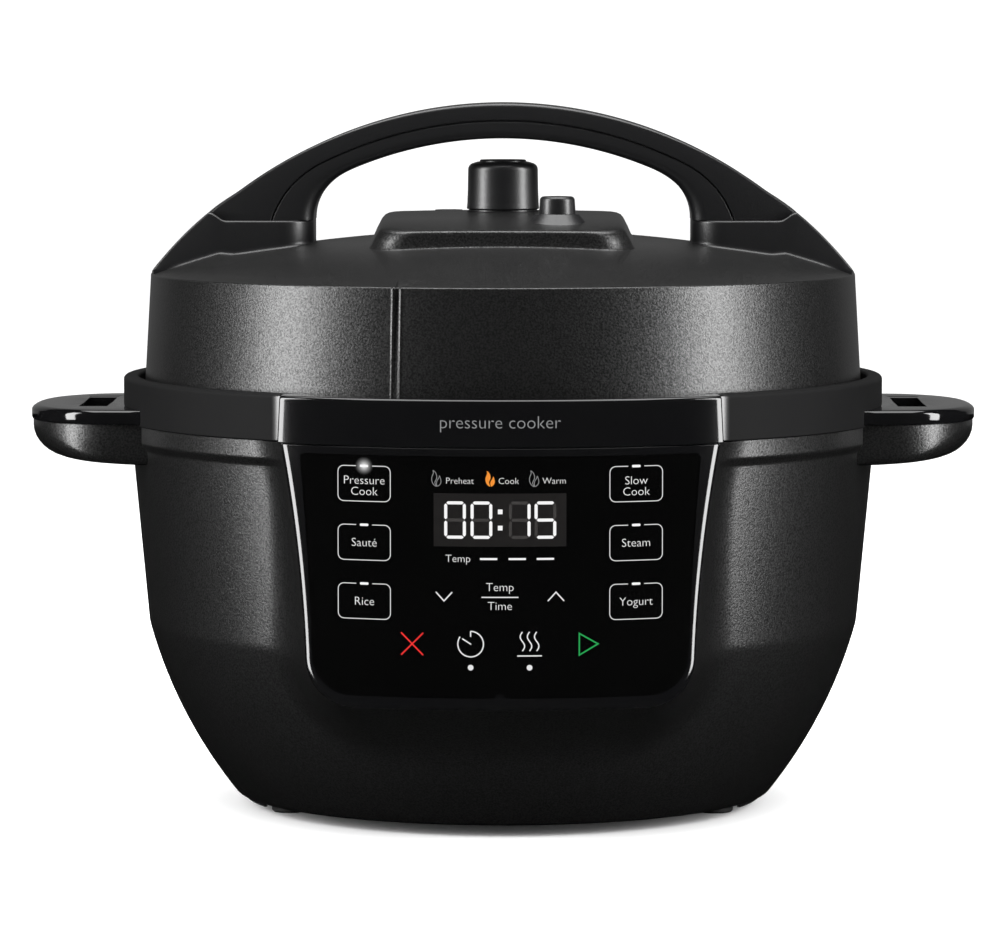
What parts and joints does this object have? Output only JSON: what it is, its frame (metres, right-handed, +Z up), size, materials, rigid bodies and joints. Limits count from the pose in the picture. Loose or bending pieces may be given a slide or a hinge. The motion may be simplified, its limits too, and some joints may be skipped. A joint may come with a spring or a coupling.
{
  "type": "electric pressure cooker",
  "caption": "Round black electric pressure cooker with a domed twist-lock lid under a long arched handle, a curved front control panel and side handles.",
  "frame": {"origin": "on the ground, on the vertical axis of the pot", "axes": "+Z up, the control panel faces -Y, the side handles lie along X with the row's right at +X"},
  "size_m": [0.4112, 0.346, 0.3047],
  "materials": {
    "textured_plastic": "fine textured black, satin",
    "satin_plastic": "smooth satin black",
    "gloss_plastic_trim": "polished black",
    "smoked_lens": "polished black window",
    "display": "dark display face",
    "circuit_board": "green solder mask",
    "well_aluminium": "bright pressed sheet",
    "heater_aluminium": "cast, machined top",
    "steel": "brushed stainless",
    "brass_pins": "plated",
    "silicone": "translucent grey silicone",
    "rubber_foot": "matt black rubber",
    "clear_cup": "smoked plastic"
  },
  "bodies": {
    "base": {"outer_shell": "textured_plastic", "rim_ring": "gloss_plastic_trim", "handle_cap_left": "gloss_plastic_trim", "handle_cap_right": "gloss_plastic_trim", "handle_grip_left": "satin_plastic", "handle_grip_right": "satin_plastic", "panel_bezel": "gloss_plastic_trim", "panel_lens": "smoked_lens", "display_module": "display", "control_board": "circuit_board", "inner_housing": "well_aluminium", "lock_ring": "steel", "heater_plate": "heater_aluminium", "heater_posts": "steel", "temperature_sensor": "heater_aluminium", "power_board": "circuit_board", "bottom_cover": "satin_plastic", "bottom_screws": "steel", "power_inlet": "satin_plastic", "inlet_pins": "brass_pins", "drain_spout": "satin_plastic", "foot_front_left": "rubber_foot", "foot_front_right": "rubber_foot", "foot_rear_left": "rubber_foot", "foot_rear_right": "rubber_foot"},
    "collector": {"collector_cup": "clear_cup"},
    "pot": {"inner_pot": "steel"},
    "seal": {"sealing_ring": "silicone"},
    "lid": {"lid_cover": "textured_plastic", "lid_plate": "steel", "lid_screws": "steel", "ring_rack": "steel", "handle_shell": "satin_plastic", "handle_grip": "satin_plastic", "handle_root_left": "textured_plastic", "handle_root_right": "textured_plastic", "vent_housing": "satin_plastic", "button_collar": "satin_plastic", "steam_pipe": "steel", "anti_block_shield": "steel"},
    "steam_release": {"steam_knob": "satin_plastic", "knob_weight": "steel"},
    "button": {"release_button": "satin_plastic"},
    "float": {"float_valve": "steel", "float_cap": "silicone"}
  },
  "joints": [
    {"name": "collector_pull", "type": "slide", "parent": "base", "child": "collector", "axis": [0, 1, 0], "range_m": [0, 0.03]},
    {"name": "pot_lift", "type": "slide", "parent": "base", "child": "pot", "axis": [0, 0, 1], "range_m": [0, 0.17]},
    {"name": "lid_lift", "type": "slide", "parent": "pot", "child": "seal", "axis": [0, 0, 1], "range_m": [0, 0.2]},
    {"name": "lid_turn", "type": "hinge", "parent": "seal", "child": "lid", "pos_m": [0, 0, 0.2], "axis": [0, 0, 1], "range_deg": [0, 30]},
    {"name": "knob_lift", "type": "slide", "parent": "lid", "child": "steam_release", "axis": [0, 0, 1], "range_m": [0, 0.007]},
    {"name": "button_press", "type": "slide", "parent": "lid", "child": "button", "axis": [0, 0, 1], "range_m": [-0.004, 0], "stiffness_N_per_m": 250, "springref_m": 0.002},
    {"name": "float_rise", "type": "slide", "parent": "lid", "child": "float", "axis": [0, 0, 1], "range_m": [0, 0.004]}
  ]
}
